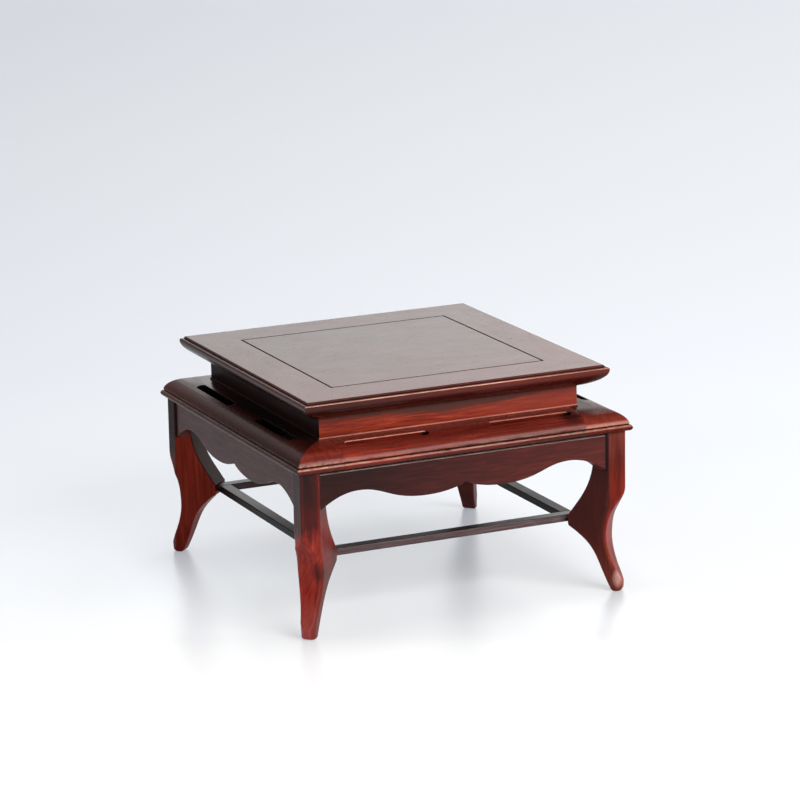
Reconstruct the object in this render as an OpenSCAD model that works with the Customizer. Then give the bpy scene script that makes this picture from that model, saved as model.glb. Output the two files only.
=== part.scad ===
// Square hardwood display stand: framed top, drawn-in waist, slotted shoulder, scalloped aprons,
// four S-shaped legs on the diagonals and a square of stretchers.
// Millimetres, Z up, origin on the floor under the middle of the stand, front facing -Y.

/* [Overall] */
// Width and depth over the bead of the shoulder
overall_width = 200; // [180:1:240]
// Height from the floor to the underside of the shoulder
leg_height = 92; // [86:0.5:120]

/* [Top] */
// Thickness of the top frame
top_thickness = 12.8; // [12:0.2:18]
// How far the lip of the top stands out past the waist
top_overhang = 13.5; // [11:0.5:18]
// Height of the underside sweep, from the waist up to the lip
lip_rise = 10.4; // [9.4:0.1:10.6]
// Rounding of the lip
lip_radius = 1.1; // [0.6:0.1:1.3]
// How far the top face is set in from the lip
face_inset = 2.7; // [2:0.1:4]
// Width of the flat border between the arris of the top face and the panel line
border_width = 24.1; // [20:0.5:30]
// Width of the sunk line round the panel
panel_line = 1; // [0.6:0.1:2]
// Thickness of the panel
panel_thickness = 8.4; // [7.6:0.2:10]

/* [Waist] */
// Height of the waist
waist_height = 11.2; // [8:0.2:20]
// Thickness of the waist boards
waist_thickness = 5.2; // [4.4:0.2:7]
// Height of the fillet at the foot of the waist
waist_fillet_height = 1.1; // [0.6:0.1:2]
// How far that fillet stands out
waist_fillet_projection = 0.5; // [0.2:0.1:1]

/* [Shoulder] */
// Thickness of the shoulder frame
shoulder_thickness = 12; // [11.4:0.2:16]
// Width of the four shoulder members
shoulder_member = 28; // [26:0.5:34]
// Distance from the bead in to the waist
shoulder_projection = 22.8; // [21:0.2:26]
// Width of the level shelf round the waist
shelf_width = 5.8; // [3:0.2:8]
// Radius of the bead
bead_radius = 1.75; // [1.2:0.05:2.2]
// Depth of the sunk line above the bead
bead_quirk = 0.6; // [0.3:0.1:1]

/* [Slots] */
// Width of the slots in the shoulder
slot_width = 5; // [3:0.1:5.4]
// Length of the slots
slot_length = 49.5; // [30:0.5:56]
// Distance from the waist out to the slots
slot_gap = 8.5; // [6:0.1:9]
// Distance from the corner of the waist back to the outer end of a slot
slot_corner = 9.7; // [7:0.1:14]

/* [Legs] */
// How far the outer faces of the legs are set in from the bead
leg_setback = 2.9; // [2.4:0.1:5]
// Thickness of a leg, across the diagonal
leg_thickness = 15; // [13:0.2:18]
// Depth of a leg under the shoulder, along the diagonal
leg_depth = 16.5; // [15:0.5:22]
// Height at which the outer edge starts to draw in
knee_height = 60; // [55:0.5:66]
// Height of the narrowest place
ankle_height = 31.5; // [28:0.5:34]
// How far the outer edge draws in at the ankle, along the diagonal
ankle_inset = 9.8; // [7:0.1:11]
// Height of the toe
toe_height = 5.8; // [4:0.1:7]
// How far the toe is set in from the corner of the leg, along the diagonal
toe_inset = 1.8; // [1:0.1:3]
// How far the outer edge of the sole is set in from the toe
sole_inset = 1.3; // [0.6:0.1:2.4]
// Depth of the sole on the floor, along the diagonal
foot_depth = 4.2; // [3.4:0.2:7]
// Thickness of the sole on the floor, across the diagonal
foot_thickness = 7.6; // [6.6:0.2:12]
// Height below which a leg thins towards its sole
taper_height = 39; // [30:0.5:46]
// How far the square corner above the knee is eased
arris_ease = 0.5; // [0.2:0.1:1]
// How far the outer edges below the knee are eased
edge_ease = 2.2; // [1:0.1:2.8]
// Reach of the inner knob from the corner of the leg, along the diagonal
knob_reach = 31.6; // [31:0.1:36]
// Wood above and below the stretcher at the tip of the knob
knob_lip = 1.4; // [1:0.1:2]
// Height at which the inner edge of a leg becomes straight
throat_height = 81; // [72:0.5:84]

/* [Aprons] */
// How far the apron faces are set in from the leg faces
apron_setback = 1.1; // [0.7:0.1:3]
// Thickness of the aprons
apron_thickness = 4; // [3.2:0.1:4.2]
// Height of the shadow line between the shoulder and the apron
apron_line = 1.6; // [1:0.1:3]
// Depth of an apron at its ends
apron_end = 21.3; // [18:0.1:26]
// Depth of an apron at the arches beside the legs
apron_arch = 13.2; // [11:0.1:16]
// Depth of an apron at the two middle lobes
apron_lobe = 21.1; // [18:0.1:26]
// Depth of an apron at the point in its middle
apron_cusp = 15.9; // [14:0.1:17]
// Distance from the middle of the apron to the bottom of a lobe
lobe_offset = 22.5; // [14:0.5:26]
// Distance from the end of the apron to the crown of an arch
arch_inset = 22.7; // [18:0.1:28]

/* [Stretchers] */
// Height of the underside of the stretchers above the floor
stretcher_height = 38.3; // [36.5:0.1:40.5]
// How far the stretchers are set in from the leg faces
stretcher_setback = 20.3; // [19.4:0.1:21]
// Width of a stretcher
stretcher_width = 6.8; // [5:0.1:8]
// Thickness of a stretcher
stretcher_thickness = 4; // [3:0.1:5]

/* [Joints] */
// Clearance round tenons and tongues
fit = 0.1; // [0.05:0.01:0.2]
// Thickness of the tongues
tongue_thickness = 2; // [1.6:0.1:2.2]
// Length of the tongues
tongue_length = 2.6; // [2:0.1:2.8]
// Thickness of the tenons
tenon_thickness = 4; // [3:0.1:4.2]
// Length of the tenons
tenon_length = 7; // [5:0.1:8]

/* [Hidden] */

// Turns that carry a piece from the back (+Y) to each side, or from the back right corner to each corner
BACK = 0;
LEFT = 90;
FRONT = 180;
RIGHT = 270;
SIDES = [BACK, LEFT, FRONT, RIGHT];

// Colours of the lacquered wood
wood_red = [0.45, 0.13, 0.09];
wood_orange = [0.58, 0.22, 0.14];
wood_brown = [0.27, 0.13, 0.11];
wood_dark = [0.20, 0.12, 0.11];

// Segments along each curved stretch of an outline, and round the end of a slot
curve_steps = 12;
round_steps = 32;
// Length that reaches past the stand in every direction
reach = overall_width;
root2 = sqrt(2);

// Heights of the levels
shoulder_z = leg_height;
waist_z = shoulder_z + shoulder_thickness;
top_z = waist_z + waist_height;
face_z = top_z + top_thickness;
lip_z = top_z + lip_rise;

// Half widths
bead_half = overall_width / 2;
waist_half = bead_half - shoulder_projection;
lip_half = waist_half + top_overhang;
face_half = lip_half - face_inset;
frame_half = face_half - border_width;
panel_half = frame_half - panel_line;
shoulder_inner = bead_half - shoulder_member;
leg_half = bead_half - leg_setback;
apron_half = leg_half - apron_setback;
stretcher_half = leg_half - stretcher_setback;
stretcher_inner = stretcher_half - stretcher_width;

// Step of the top face above the lip
step_z = lip_z + lip_radius;
step_half = face_half + (face_z - step_z) / 2;

// Rounded fall of the shoulder: part of an ellipse that dies into the sunk line over the bead
fall_half = waist_half + shelf_width;
fall_run = bead_half - 2 * bead_quirk - fall_half;
fall_z = shoulder_z + 2 * bead_radius - bead_quirk;
fall_drop = waist_z - fall_z;

// Tongues of the waist and the panel, in the middle of their thickness
waist_tongue_half = waist_half - (waist_thickness - tongue_thickness) / 2;
panel_tongue_z = face_z - (panel_thickness + tongue_thickness) / 2;

// Tenons of the top frame, between the panel groove and the moulded edge
frame_tenon_inner = frame_half + tongue_length + tenon_thickness / 2;
frame_tenon_outer = waist_half + tenon_thickness / 2;
frame_tenon_z = top_z + tongue_length + tenon_thickness / 4;

// Tenons of the shoulder, between its grooves above and below
shoulder_tenon_inner = shoulder_inner + tenon_thickness;
shoulder_tenon_outer = fall_half + fall_run / 2;
shoulder_tenon_z = shoulder_z + tongue_length + 2 * fit;

// Tongues of the aprons, in the middle of their thickness
apron_top = shoulder_z - apron_line;
apron_tongue_half = apron_half - (apron_thickness - tongue_thickness) / 2;
apron_tongue_end = shoulder_inner - tongue_thickness;

// Top of the stretchers, and the height at which they are halved into each other
stretcher_top = stretcher_height + stretcher_thickness;
stretcher_lap = stretcher_height + stretcher_thickness / 2;

// Places on the legs, along the diagonal from the middle of the stand
leg_corner = leg_half * root2;
leg_inner = leg_corner - leg_depth;
leg_tenon_corner = leg_corner - leg_depth / 2;
knob_tip = leg_corner - knob_reach;
knob_bottom = stretcher_height - knob_lip;
knob_top = stretcher_top + knob_lip;
knob_round = knob_lip / 2;

// Places on the outer edge of the legs, along the diagonal too
knee_outer = leg_corner - arris_ease;
ankle_outer = leg_corner - ankle_inset;
toe_outer = leg_corner - toe_inset;
sole_outer = toe_outer - sole_inset;
sole_inner = sole_outer - foot_depth;
// Distance, along X or Y, from the diagonal to the side face of a leg
leg_side = leg_thickness / root2;

// Places on the aprons, along X from the middle
apron_end_half = apron_half - leg_side;
crown_half = apron_end_half - arch_inset;

// Reach of the handles at the start and the end of each curve, as shares of its run and its rise
lip_pull = [[0.54, 0.225], [0, 0.43]];
calf_pull = [[0, 0.31], [0, 0.61]];
heel_pull = [[0, 0.37], [0.37, 0.23]];
toe_pull = [[-0.1, 0.45], [0.78, 0]];
shin_pull = [[0.42, 0.52], [0.75, 0.32]];
throat_pull = [[0.35, 0.22], [0, 0.55]];
cusp_pull = [[0.06, 0.51], [0.46, 0]];
lobe_pull = [[0.56, 0], [0.37, 0]];
arch_pull = [[0.32, 0], [0.37, 0.71]];

// Angles between which the lip, the bead and the fall of the shoulder are rounded
lip_turn = [5, 80];
bead_turn = [-90, 75];
fall_turn = [8, 90];

// A share of the way from one point to another, taken apart for run and rise
function along(from, to, share) = [(to[0] - from[0]) * share[0], (to[1] - from[1]) * share[1]];

// Points of a cubic curve between two points, after the first one
function curve(a, d, pull) = [
    for (i = [1 : curve_steps])
        let (t = i / curve_steps, s = 1 - t, b = a + along(a, d, pull[0]), c = d + along(d, a, pull[1]))
            s * s * s * a + 3 * s * s * t * b + 3 * s * t * t * c + t * t * t * d
];

// Points of an elliptic arc about a centre, between two angles
function arc(centre, run, rise, turn) = [
    for (i = [0 : curve_steps])
        let (angle = turn[0] + (turn[1] - turn[0]) * i / curve_steps)
            centre + [run * cos(angle), rise * sin(angle)]
];

// Half the thickness of a leg at a height, with a smooth taper down to the sole
function leg_half_thickness(z) =
    let (t = min(1, z / taper_height))
        (foot_thickness + (leg_thickness - foot_thickness) * t * t * (3 - 2 * t)) / 2;

// Whole outline from the half at positive X, leaving out the image of a first point on the axis
function both_halves(half) = concat(
    half,
    [for (i = [len(half) - 1 : -1 : half[0][0] == 0 ? 1 : 0]) [-half[i][0], half[i][1]]]
);

// Moulded edge of the top, from the waist out to the lip and up to the top face
top_edge = concat(
    [[waist_half, top_z]],
    curve([waist_half, top_z], [lip_half, lip_z], lip_pull),
    arc([lip_half - lip_radius, lip_z], lip_radius, lip_radius, lip_turn),
    [[step_half, step_z], [step_half, (step_z + face_z) / 2], [face_half, face_z]]
);

// Moulded edge of the shoulder, from its underside round the bead and up the fall to the shelf
shoulder_edge = concat(
    arc([bead_half - bead_radius, shoulder_z + bead_radius], bead_radius, bead_radius, bead_turn),
    [[fall_half + fall_run - bead_quirk, fall_z + bead_quirk]],
    arc([fall_half, fall_z], fall_run, fall_drop, fall_turn)
);

// Outer edge of a leg along the diagonal, from under the shoulder down to the sole
leg_outer_edge = concat(
    [[knee_outer, shoulder_z], [knee_outer, knee_height]],
    curve([knee_outer, knee_height], [ankle_outer, ankle_height], calf_pull),
    curve([ankle_outer, ankle_height], [toe_outer, toe_height], heel_pull),
    curve([toe_outer, toe_height], [sole_outer, 0], toe_pull)
);

// Limit along X or Y that eases both outer edges of a leg
leg_ease_edge = [
    for (p = leg_outer_edge) [(p[0] + leg_half_thickness(p[1]) - edge_ease) / root2, p[1]]
];

// Inner edge of a leg along the diagonal, from the sole up round the knob to the shoulder
leg_inner_edge = concat(
    [[sole_inner, 0]],
    curve([sole_inner, 0], [knob_tip + knob_round, knob_bottom], shin_pull),
    [
        [knob_tip, knob_bottom + knob_round],
        [knob_tip, knob_top - knob_round],
        [knob_tip + knob_round, knob_top]
    ],
    curve([knob_tip + knob_round, knob_top], [leg_inner, throat_height], throat_pull),
    [[leg_inner, shoulder_z]]
);

// Side face of a leg, from under the shoulder down to the sole
leg_side_edge = concat(
    [[leg_thickness / 2, shoulder_z]],
    [for (i = [curve_steps : -1 : 0]) let (z = taper_height * i / curve_steps) [leg_half_thickness(z), z]]
);

// Lower edge of an apron, from the point in its middle out to its end against the leg
apron_edge = concat(
    [[0, shoulder_z - apron_cusp]],
    curve([0, shoulder_z - apron_cusp], [lobe_offset, shoulder_z - apron_lobe], cusp_pull),
    curve([lobe_offset, shoulder_z - apron_lobe], [crown_half, shoulder_z - apron_arch], lobe_pull),
    curve([crown_half, shoulder_z - apron_arch], [apron_end_half, shoulder_z - apron_end], arch_pull),
    [[apron_end_half, apron_top]]
);

// Box between two opposite corners
module box(low, high) {
    translate(low) cube(high - low);
}

// Prism along X of an outline given as distance towards +Y and height
module along_x(points, half_length) {
    translate([-half_length, 0, 0]) rotate([90, 0, 90]) linear_extrude(2 * half_length) polygon(points);
}

// Prism along Y of an outline given as distance towards +X and height
module along_y(points, half_length) {
    translate([0, half_length, 0]) rotate([90, 0, 0]) linear_extrude(2 * half_length) polygon(points);
}

// Everything on the +Y side of both diagonals
module mitre_wedge() {
    linear_extrude(face_z + reach) polygon([[0, 0], [reach, reach], [-reach, reach]]);
}

// Square ring between two half widths and two heights
module ring(inner, outer, low, high) {
    difference() {
        box([-outer, -outer, low], [outer, outer, high]);
        box([-inner, -inner, low - fit], [inner, inner, high + fit]);
    }
}

// A shape and its image on the other side of X
module both_ends() {
    children();
    mirror([1, 0, 0]) children();
}

// A shape and its image on the other side of the diagonal from the middle to the +X +Y corner
module both_faces() {
    children();
    mirror([1, -1, 0]) children();
}

// Tenon of the top frame at the +X end of the back member, grown by a clearance
module frame_tenon(grow) {
    box(
        [frame_half, frame_tenon_inner - grow, frame_tenon_z - grow],
        [frame_tenon_outer + grow, frame_tenon_outer + grow, frame_tenon_z + tenon_thickness + grow]
    );
}

// Moulded and mitred member of the top frame on the +Y side, grooved for the panel and the waist
module frame_member() {
    difference() {
        intersection() {
            along_x(concat([[frame_half, top_z]], top_edge, [[frame_half, face_z]]), reach);
            mitre_wedge();
        }
        box(
            [-reach, 0, panel_tongue_z],
            [reach, frame_half + tongue_length + fit, panel_tongue_z + tongue_thickness + fit]
        );
        ring(
            waist_tongue_half - tongue_thickness - fit,
            waist_tongue_half + fit,
            top_z - fit,
            top_z + tongue_length + fit
        );
    }
}

// Front and back members carry the tenons
module frame_cross() {
    frame_member();
    both_ends() frame_tenon(0);
}

// Side members carry the mortises
module frame_side() {
    difference() {
        frame_member();
        both_ends() mirror([1, -1, 0]) frame_tenon(fit);
    }
}

// Floating panel with a tongue all round
module panel() {
    tongue_half = frame_half + tongue_length - fit;
    box([-panel_half, -panel_half, face_z - panel_thickness], [panel_half, panel_half, face_z]);
    box(
        [-tongue_half, -tongue_half, panel_tongue_z],
        [tongue_half, tongue_half, panel_tongue_z + tongue_thickness]
    );
}

// Mitred waist board on the +Y side, with a fillet at its foot and a tongue above and below
module waist_board() {
    fillet_half = waist_half + waist_fillet_projection;
    outline = [
        [waist_half - waist_thickness, waist_z],
        [fillet_half, waist_z],
        [fillet_half, waist_z + waist_fillet_height - waist_fillet_projection],
        [waist_half, waist_z + waist_fillet_height],
        [waist_half, top_z],
        [waist_half - waist_thickness, top_z]
    ];
    intersection() {
        union() {
            along_x(outline, reach);
            ring(
                waist_tongue_half - tongue_thickness,
                waist_tongue_half,
                waist_z - tongue_length,
                top_z + tongue_length
            );
        }
        mitre_wedge();
    }
}

// Slot through the shoulder, in the +X half of the +Y side
module slot() {
    straight = slot_length - slot_width;
    slot_x = waist_half - slot_corner - slot_length / 2;
    slot_y = waist_half + slot_gap + slot_width / 2;
    translate([slot_x, slot_y, shoulder_z - fit]) {
        linear_extrude(shoulder_thickness + 2 * fit) {
            square([straight, slot_width], center = true);
            for (end = [-1, 1]) {
                translate([end * straight / 2, 0]) circle(d = slot_width, $fn = round_steps);
            }
        }
    }
}

// Tongue of the back apron under the shoulder, grown by a clearance
module apron_tongue(grow) {
    box(
        [-apron_tongue_end - grow, apron_tongue_half - tongue_thickness - grow, apron_top],
        [apron_tongue_end + grow, apron_tongue_half + grow, shoulder_z + tongue_length + grow]
    );
}

// Tongues at both ends of the back apron, grown by a clearance
module apron_end_tongues(grow) {
    end = apron_end_half + tongue_length + tongue_thickness + grow;
    box(
        [-end, apron_tongue_half - tongue_thickness - grow, shoulder_z - apron_arch - grow],
        [end, apron_tongue_half + grow, apron_top - tongue_thickness + grow]
    );
}

// Tenon on the leg at the +X +Y corner, grown by a clearance
module leg_tenon(grow) {
    rotate(45) {
        box(
            [leg_tenon_corner - tenon_length - grow, -tenon_thickness - grow, shoulder_z - fit],
            [leg_tenon_corner + grow, tenon_thickness + grow, shoulder_z + tenon_length + grow]
        );
    }
}

// Stub tenons at both ends of the back cross member of the shoulder, grown by a clearance
module shoulder_tenons(grow) {
    end = shoulder_inner + tenon_length + grow;
    difference() {
        box(
            [-end, shoulder_tenon_inner - grow, shoulder_tenon_z - grow],
            [end, shoulder_tenon_outer + grow, shoulder_tenon_z + tenon_thickness + grow]
        );
        box([fit - shoulder_inner, 0, 0], [shoulder_inner - fit, reach, face_z]);
    }
}

// Whole moulded shoulder with its slots, grooves and leg mortises, before it is cut into members
module shoulder_blank() {
    difference() {
        intersection() {
            along_x(both_halves(shoulder_edge), reach);
            along_y(both_halves(shoulder_edge), reach);
        }
        for (turn = SIDES) {
            rotate(turn) {
                both_ends() slot();
                apron_tongue(fit);
                leg_tenon(fit);
            }
        }
        ring(
            waist_tongue_half - tongue_thickness - fit,
            waist_tongue_half + fit,
            waist_z - tongue_length - fit,
            waist_z + fit
        );
    }
}

// Back cross member of the shoulder, between the side members
module shoulder_cross() {
    intersection() {
        shoulder_blank();
        box([-shoulder_inner, shoulder_inner, 0], [shoulder_inner, reach, face_z]);
    }
    shoulder_tenons(0);
}

// Side member of the shoulder, drawn on the +Y side, with the moulding carried round its ends
module shoulder_side() {
    difference() {
        intersection() {
            shoulder_blank();
            box([-reach, shoulder_inner, 0], [reach, reach, face_z]);
        }
        for (turn = [LEFT, RIGHT]) {
            rotate(turn) shoulder_tenons(fit);
        }
    }
}

// Scalloped apron on the +Y side, its ends cut along the side faces of the legs
module apron() {
    intersection() {
        union() {
            translate([0, apron_half - apron_thickness / 2, 0]) {
                along_y(both_halves(apron_edge), apron_thickness / 2);
            }
            box(
                [-reach, apron_tongue_half - tongue_thickness, apron_top - tongue_thickness],
                [reach, apron_tongue_half, shoulder_z]
            );
        }
        translate([0, leg_side, 0]) mitre_wedge();
    }
    apron_tongue(0);
    apron_end_tongues(0);
}

// Leg at the +X +Y corner: an S-shaped board on the diagonal, squared to the corner above the knee
module leg() {
    difference() {
        union() {
            intersection() {
                box([0, 0, 0], [leg_half, leg_half, shoulder_z]);
                rotate(45) along_y(concat(leg_outer_edge, leg_inner_edge), leg_thickness);
                rotate(45) along_x(both_halves(leg_side_edge), reach);
                along_x(concat(leg_ease_edge, [[0, 0], [0, shoulder_z]]), reach);
                along_y(concat(leg_ease_edge, [[0, 0], [0, shoulder_z]]), reach);
            }
            leg_tenon(0);
        }
        both_faces() apron_end_tongues(fit);
        box(
            [-stretcher_half - fit, -stretcher_half - fit, stretcher_height],
            [stretcher_half + fit, stretcher_half + fit, stretcher_top + fit]
        );
    }
}

// Stretcher on the +Y side, halved at both ends from one height to another
module stretcher(lap_low, lap_high) {
    difference() {
        box(
            [-stretcher_half, stretcher_inner, stretcher_height],
            [stretcher_half, stretcher_half, stretcher_top]
        );
        both_ends() {
            box(
                [stretcher_inner, stretcher_inner - fit, lap_low],
                [stretcher_half + fit, stretcher_half + fit, lap_high]
            );
        }
    }
}

// Front and back stretchers lie on top at the corners, the side ones below
module stretcher_cross() {
    stretcher(stretcher_height - fit, stretcher_lap);
}
module stretcher_side() {
    stretcher(stretcher_lap, stretcher_top + fit);
}

module top_panel() { color(wood_brown) panel(); }
module top_frame_front() { color(wood_red) rotate(FRONT) frame_cross(); }
module top_frame_back() { color(wood_red) rotate(BACK) frame_cross(); }
module top_frame_left() { color(wood_brown) rotate(LEFT) frame_side(); }
module top_frame_right() { color(wood_brown) rotate(RIGHT) frame_side(); }
module waist_front() { color(wood_orange) rotate(FRONT) waist_board(); }
module waist_back() { color(wood_orange) rotate(BACK) waist_board(); }
module waist_left() { color(wood_dark) rotate(LEFT) waist_board(); }
module waist_right() { color(wood_dark) rotate(RIGHT) waist_board(); }
module shoulder_front() { color(wood_red) rotate(FRONT) shoulder_cross(); }
module shoulder_back() { color(wood_red) rotate(BACK) shoulder_cross(); }
module shoulder_left() { color(wood_brown) rotate(LEFT) shoulder_side(); }
module shoulder_right() { color(wood_red) rotate(RIGHT) shoulder_side(); }
module apron_front() { color(wood_dark) rotate(FRONT) apron(); }
module apron_back() { color(wood_dark) rotate(BACK) apron(); }
module apron_left() { color(wood_dark) rotate(LEFT) apron(); }
module apron_right() { color(wood_dark) rotate(RIGHT) apron(); }
module leg_back_right() { color(wood_red) rotate(BACK) leg(); }
module leg_back_left() { color(wood_red) rotate(LEFT) leg(); }
module leg_front_left() { color(wood_red) rotate(FRONT) leg(); }
module leg_front_right() { color(wood_red) rotate(RIGHT) leg(); }
module stretcher_front() { color(wood_dark) rotate(FRONT) stretcher_cross(); }
module stretcher_back() { color(wood_dark) rotate(BACK) stretcher_cross(); }
module stretcher_left() { color(wood_dark) rotate(LEFT) stretcher_side(); }
module stretcher_right() { color(wood_dark) rotate(RIGHT) stretcher_side(); }

top_panel();
top_frame_front();
top_frame_back();
top_frame_left();
top_frame_right();
waist_front();
waist_back();
waist_left();
waist_right();
shoulder_front();
shoulder_back();
shoulder_left();
shoulder_right();
apron_front();
apron_back();
apron_left();
apron_right();
leg_front_left();
leg_front_right();
leg_back_left();
leg_back_right();
stretcher_front();
stretcher_back();
stretcher_left();
stretcher_right();
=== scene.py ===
# Square hardwood display stand, dressed over its CAD frame. Sizes are in millimetres until a mesh is made.
import bmesh
import bpy
import math
from mathutils import Matrix, Vector


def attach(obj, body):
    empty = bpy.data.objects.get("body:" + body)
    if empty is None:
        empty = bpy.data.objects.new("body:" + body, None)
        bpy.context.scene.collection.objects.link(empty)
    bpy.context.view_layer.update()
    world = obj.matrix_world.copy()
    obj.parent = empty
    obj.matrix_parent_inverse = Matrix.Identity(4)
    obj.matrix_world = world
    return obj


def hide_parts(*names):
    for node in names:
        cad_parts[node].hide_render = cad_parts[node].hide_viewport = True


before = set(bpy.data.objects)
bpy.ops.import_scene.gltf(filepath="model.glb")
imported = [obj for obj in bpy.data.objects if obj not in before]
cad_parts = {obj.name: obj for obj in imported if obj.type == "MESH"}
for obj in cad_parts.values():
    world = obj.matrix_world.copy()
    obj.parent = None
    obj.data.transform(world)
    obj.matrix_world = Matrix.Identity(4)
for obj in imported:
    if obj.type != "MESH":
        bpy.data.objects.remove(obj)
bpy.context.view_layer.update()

MM = 0.001
ROOT2 = math.sqrt(2)
# Turns in degrees that bring a piece made at the back, or at the back right corner, to its place
BACK, LEFT, FRONT, RIGHT = 0, 90, 180, 270
SIDES = {"back": BACK, "left": LEFT, "front": FRONT, "right": RIGHT}
CORNERS = {"back_right": BACK, "back_left": LEFT, "front_left": FRONT, "front_right": RIGHT}
CROSSWISE = ("front", "back")
BOTH_ENDS = (-1, 1)

# Levels
SHOULDER_Z = 92
WAIST_Z = 104
TOP_Z = 115.2
FACE_Z = 128

# Half widths
BEAD_HALF = 100
WAIST_HALF = 77.2
LIP_HALF = 90.7
FACE_HALF = 88
FRAME_HALF = 63.9
PANEL_HALF = 62.9
SHOULDER_INNER = 72
LEG_HALF = 97.1
APRON_HALF = 96

# Steps along a curve and round a small edge
CURVE_STEPS = 24
EDGE_STEPS = 4
# Distance from a rounded edge to where its wear ends, and the most of a side that it may take
WEAR_REACH = 0.8
WEAR_SHARE = 0.04
# Most of a side that a rounded corner may take
CORNER_SHARE = 0.45
# Points closer than this are one point, and edges shorter than this are dropped
MERGE_GAP = 0.002
SHORT_EDGE = 0.001
# Faces that meet at more than this angle have a sharp edge
SHARP_ANGLE = math.radians(38)


def bezier(a, d, pull, steps=CURVE_STEPS):
    """Points of a cubic curve after its first one; pull gives the handles as shares of run and rise."""
    run, rise = d[0] - a[0], d[1] - a[1]
    b = (a[0] + run * pull[0][0], a[1] + rise * pull[0][1])
    c = (d[0] - run * pull[1][0], d[1] - rise * pull[1][1])
    points = []
    for i in range(1, steps + 1):
        t = i / steps
        s = 1 - t
        weights = (s * s * s, 3 * s * s * t, 3 * s * t * t, t * t * t)
        points.append(tuple(sum(w * p[k] for w, p in zip(weights, (a, b, c, d))) for k in (0, 1)))
    return points


def arc(centre, run, rise, start, end, steps=CURVE_STEPS):
    """Points of an elliptic arc about a centre, between two angles in degrees."""
    points = []
    for i in range(steps + 1):
        angle = math.radians(start + (end - start) * i / steps)
        points.append((centre[0] + run * math.cos(angle), centre[1] + rise * math.sin(angle)))
    return points


def smooth(t):
    """Rises from 0 to 1 with level ends."""
    t = min(1.0, max(0.0, t))
    return t * t * (3 - 2 * t)


def rounded(points, radii, steps=EDGE_STEPS):
    """Closed outline with some corners rounded, as (x, y, wear) rows; radii is by the corner's index."""
    rows = []
    count = len(points)
    for k, point in enumerate(points):
        p = Vector(point)
        if not radii.get(k):
            rows.append((p.x, p.y, 0.0))
            continue
        to_last = Vector(points[k - 1]) - p
        to_next = Vector(points[(k + 1) % count]) - p
        room_last, room_next = to_last.length, to_next.length
        to_last.normalize()
        to_next.normalize()
        half = to_last.angle(to_next) / 2
        cut = min(radii[k] / math.tan(half), CORNER_SHARE * room_last, CORNER_SHARE * room_next)
        radius = cut * math.tan(half)
        centre = p + (to_last + to_next).normalized() * (radius / math.sin(half))
        first = p + to_last * cut - centre
        last = p + to_next * cut - centre
        turn = math.atan2(first.x * last.y - first.y * last.x, first.dot(last))
        guard = p + to_last * (cut + min(WEAR_REACH, WEAR_SHARE * room_last))
        rows.append((guard.x, guard.y, 0.0))
        for i in range(steps + 1):
            angle = turn * i / steps
            c, s = math.cos(angle), math.sin(angle)
            rows.append((centre.x + first.x * c - first.y * s, centre.y + first.x * s + first.y * c, 1.0))
        guard = p + to_next * (cut + min(WEAR_REACH, WEAR_SHARE * room_next))
        rows.append((guard.x, guard.y, 0.0))
    return rows


class Solid:
    """A mesh under construction, with a wear value at each vertex."""

    def __init__(self):
        self.bm = bmesh.new()
        self.wear = self.bm.verts.layers.float.new("wear")

    def vert(self, x, y, z, wear=0.0):
        v = self.bm.verts.new((x, y, z))
        v[self.wear] = wear
        return v

    def face(self, verts):
        return self.bm.faces.new(verts)

    def strips(self, rings, closed=True):
        """Quads between neighbouring rings of vertices."""
        for a, b in zip(rings, rings[1:]):
            count = len(a)
            for k in range(count if closed else count - 1):
                n = (k + 1) % count
                self.face((a[k], a[n], b[n], b[k]))

    def capped(self, rings):
        """Closed tube of rings with a face at both ends."""
        self.strips(rings)
        self.face(rings[0])
        self.face(rings[-1])

    def done(self, turn):
        """Cleans the mesh, turns it to its side of the stand and returns it in metres."""
        bm = self.bm
        bmesh.ops.remove_doubles(bm, verts=bm.verts, dist=MERGE_GAP)
        bmesh.ops.dissolve_degenerate(bm, edges=bm.edges, dist=SHORT_EDGE)
        bmesh.ops.recalc_face_normals(bm, faces=bm.faces)
        bmesh.ops.transform(bm, matrix=Matrix.Rotation(math.radians(turn), 4, "Z"), verts=bm.verts)
        bmesh.ops.scale(bm, vec=(MM, MM, MM), verts=bm.verts)
        mesh = bpy.data.meshes.new("wood")
        bm.to_mesh(mesh)
        bm.free()
        return mesh


def mitred_bar(profile, turn):
    """Straight bar on the +Y side with 45 degree ends; profile rows are (distance out, height, wear)."""
    solid = Solid()
    solid.capped([[solid.vert(s * d, d, z, w) for d, z, w in profile] for s in BOTH_ENDS])
    return solid.done(turn)


def cut_out(mesh, cutters):
    """The mesh less the cutters, which are meshes too."""
    body = bpy.data.objects.new("body_blank", mesh)
    bpy.context.scene.collection.objects.link(body)
    tools = []
    for cutter in cutters:
        tool = bpy.data.objects.new("cutter", cutter)
        bpy.context.scene.collection.objects.link(tool)
        tools.append(tool)
        step = body.modifiers.new("cut", "BOOLEAN")
        step.operation = "DIFFERENCE"
        step.solver = "EXACT"
        step.object = tool
    depsgraph = bpy.context.evaluated_depsgraph_get()
    result = bpy.data.meshes.new_from_object(body.evaluated_get(depsgraph))
    for o in [body, *tools]:
        bpy.data.objects.remove(o)
    return result


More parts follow.
